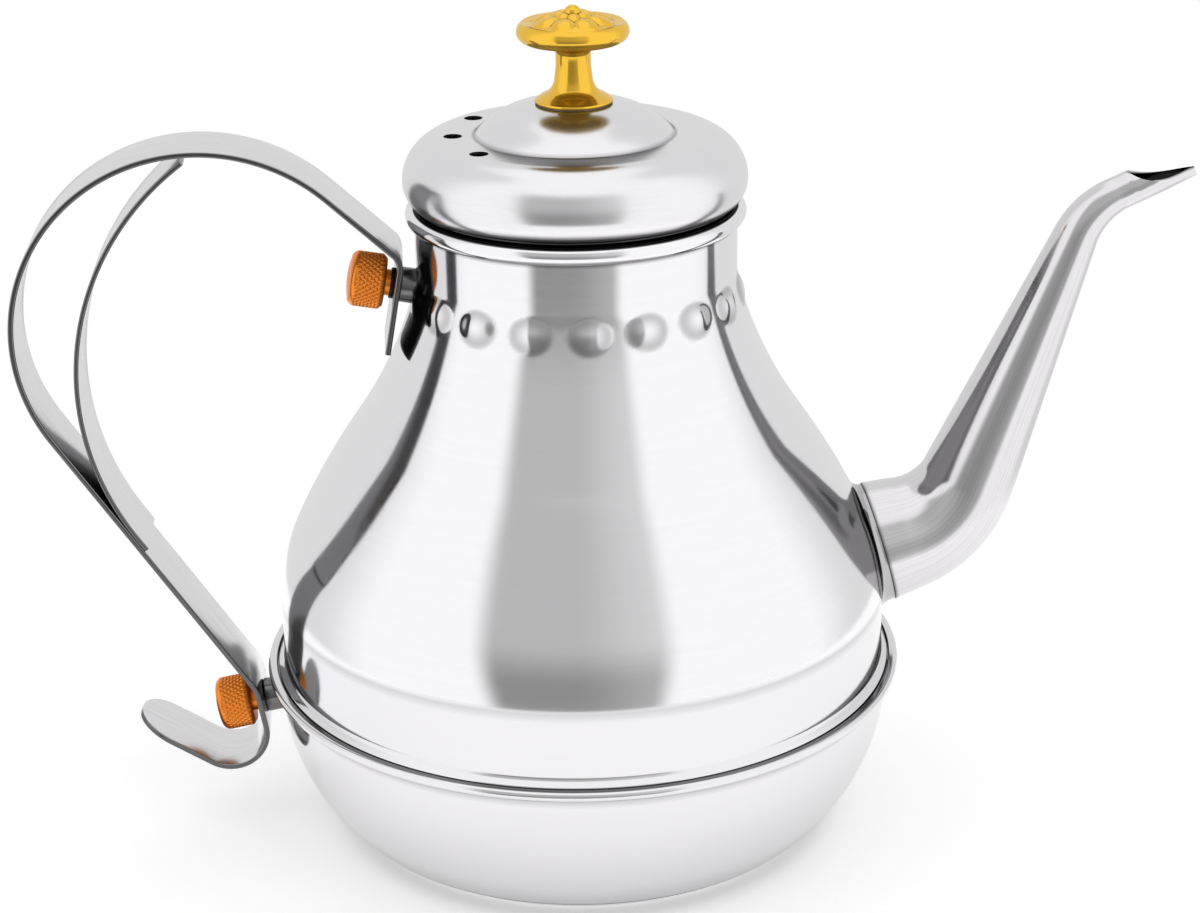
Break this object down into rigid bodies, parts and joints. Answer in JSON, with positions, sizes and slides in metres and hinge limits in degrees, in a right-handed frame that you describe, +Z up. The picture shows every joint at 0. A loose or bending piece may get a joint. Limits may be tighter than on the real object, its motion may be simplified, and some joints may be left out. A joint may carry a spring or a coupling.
{
  "type": "gooseneck kettle",
  "caption": "Bell-shaped polished steel pouring kettle with a slender gooseneck spout, looped strap handle, lift-off domed lid and gold knob.",
  "frame": {"origin": "centre of the base, on the plane the kettle stands on", "axes": "+Z up along the body's axis, +X towards the spout, the handle on -X, +Y to the left of someone looking along +X"},
  "size_m": [0.2693, 0.15, 0.1937],
  "materials": {
    "polished_steel": "mirror-polished stainless steel",
    "strap_steel": "polished stainless strip",
    "thread_steel": "plain turned steel",
    "dark_steel": "blackened steel",
    "copper_brass": "knurled, copper-toned",
    "gold_brass": "polished gold plate",
    "spreader_aluminium": "plain rolled"
  },
  "bodies": {
    "kettle": {"base_cap": "polished_steel", "base_core": "spreader_aluminium", "bowl_shell": "polished_steel", "bell_shell": "polished_steel", "spout_socket": "polished_steel", "spout_tube": "polished_steel", "handle_strap": "strap_steel", "handle_brace": "strap_steel", "upper_boss": "strap_steel", "upper_stud": "thread_steel", "lower_boss": "strap_steel", "lower_stud": "thread_steel"},
    "lid_sleeve": {"lid_skirt": "polished_steel"},
    "lid": {"lid_dome": "polished_steel", "knob": "gold_brass", "knob_screw": "thread_steel", "knob_washer": "thread_steel"},
    "upper_washer": {"upper_washer": "dark_steel"},
    "upper_nut": {"upper_nut": "copper_brass"},
    "lower_washer": {"lower_washer": "dark_steel"},
    "lower_nut": {"lower_nut": "copper_brass"}
  },
  "joints": [
    {"name": "lid_lift", "type": "slide", "parent": "kettle", "child": "lid_sleeve", "axis": [0, 0, 1], "range_m": [0, 0.12]},
    {"name": "lid_turn", "type": "hinge", "parent": "lid_sleeve", "child": "lid", "pos_m": [0, 0, 0.15], "axis": [0, 0, 1], "continuous": true},
    {"name": "upper_nut_travel", "type": "slide", "parent": "kettle", "child": "upper_washer", "axis": [-0.9836, 0, 0.1805], "range_m": [0, 0.005]},
    {"name": "upper_nut_turn", "type": "hinge", "parent": "upper_washer", "child": "upper_nut", "pos_m": [-0.04085, 0, 0.13167], "axis": [-0.9836, 0, 0.1805], "range_deg": [0, 2520]},
    {"name": "lower_nut_travel", "type": "slide", "parent": "kettle", "child": "lower_washer", "axis": [-0.9848, 0, -0.1736], "range_m": [0, 0.005]},
    {"name": "lower_nut_turn", "type": "hinge", "parent": "lower_washer", "child": "lower_nut", "pos_m": [-0.0768, 0, 0.02981], "axis": [-0.9848, 0, -0.1736], "range_deg": [0, 2520]}
  ],
  "couplings": [
    {"joint": "upper_nut_travel", "follows": "upper_nut_turn", "m_per_rad": 0.00011141},
    {"joint": "lower_nut_travel", "follows": "lower_nut_turn", "m_per_rad": 0.00011141}
  ]
}
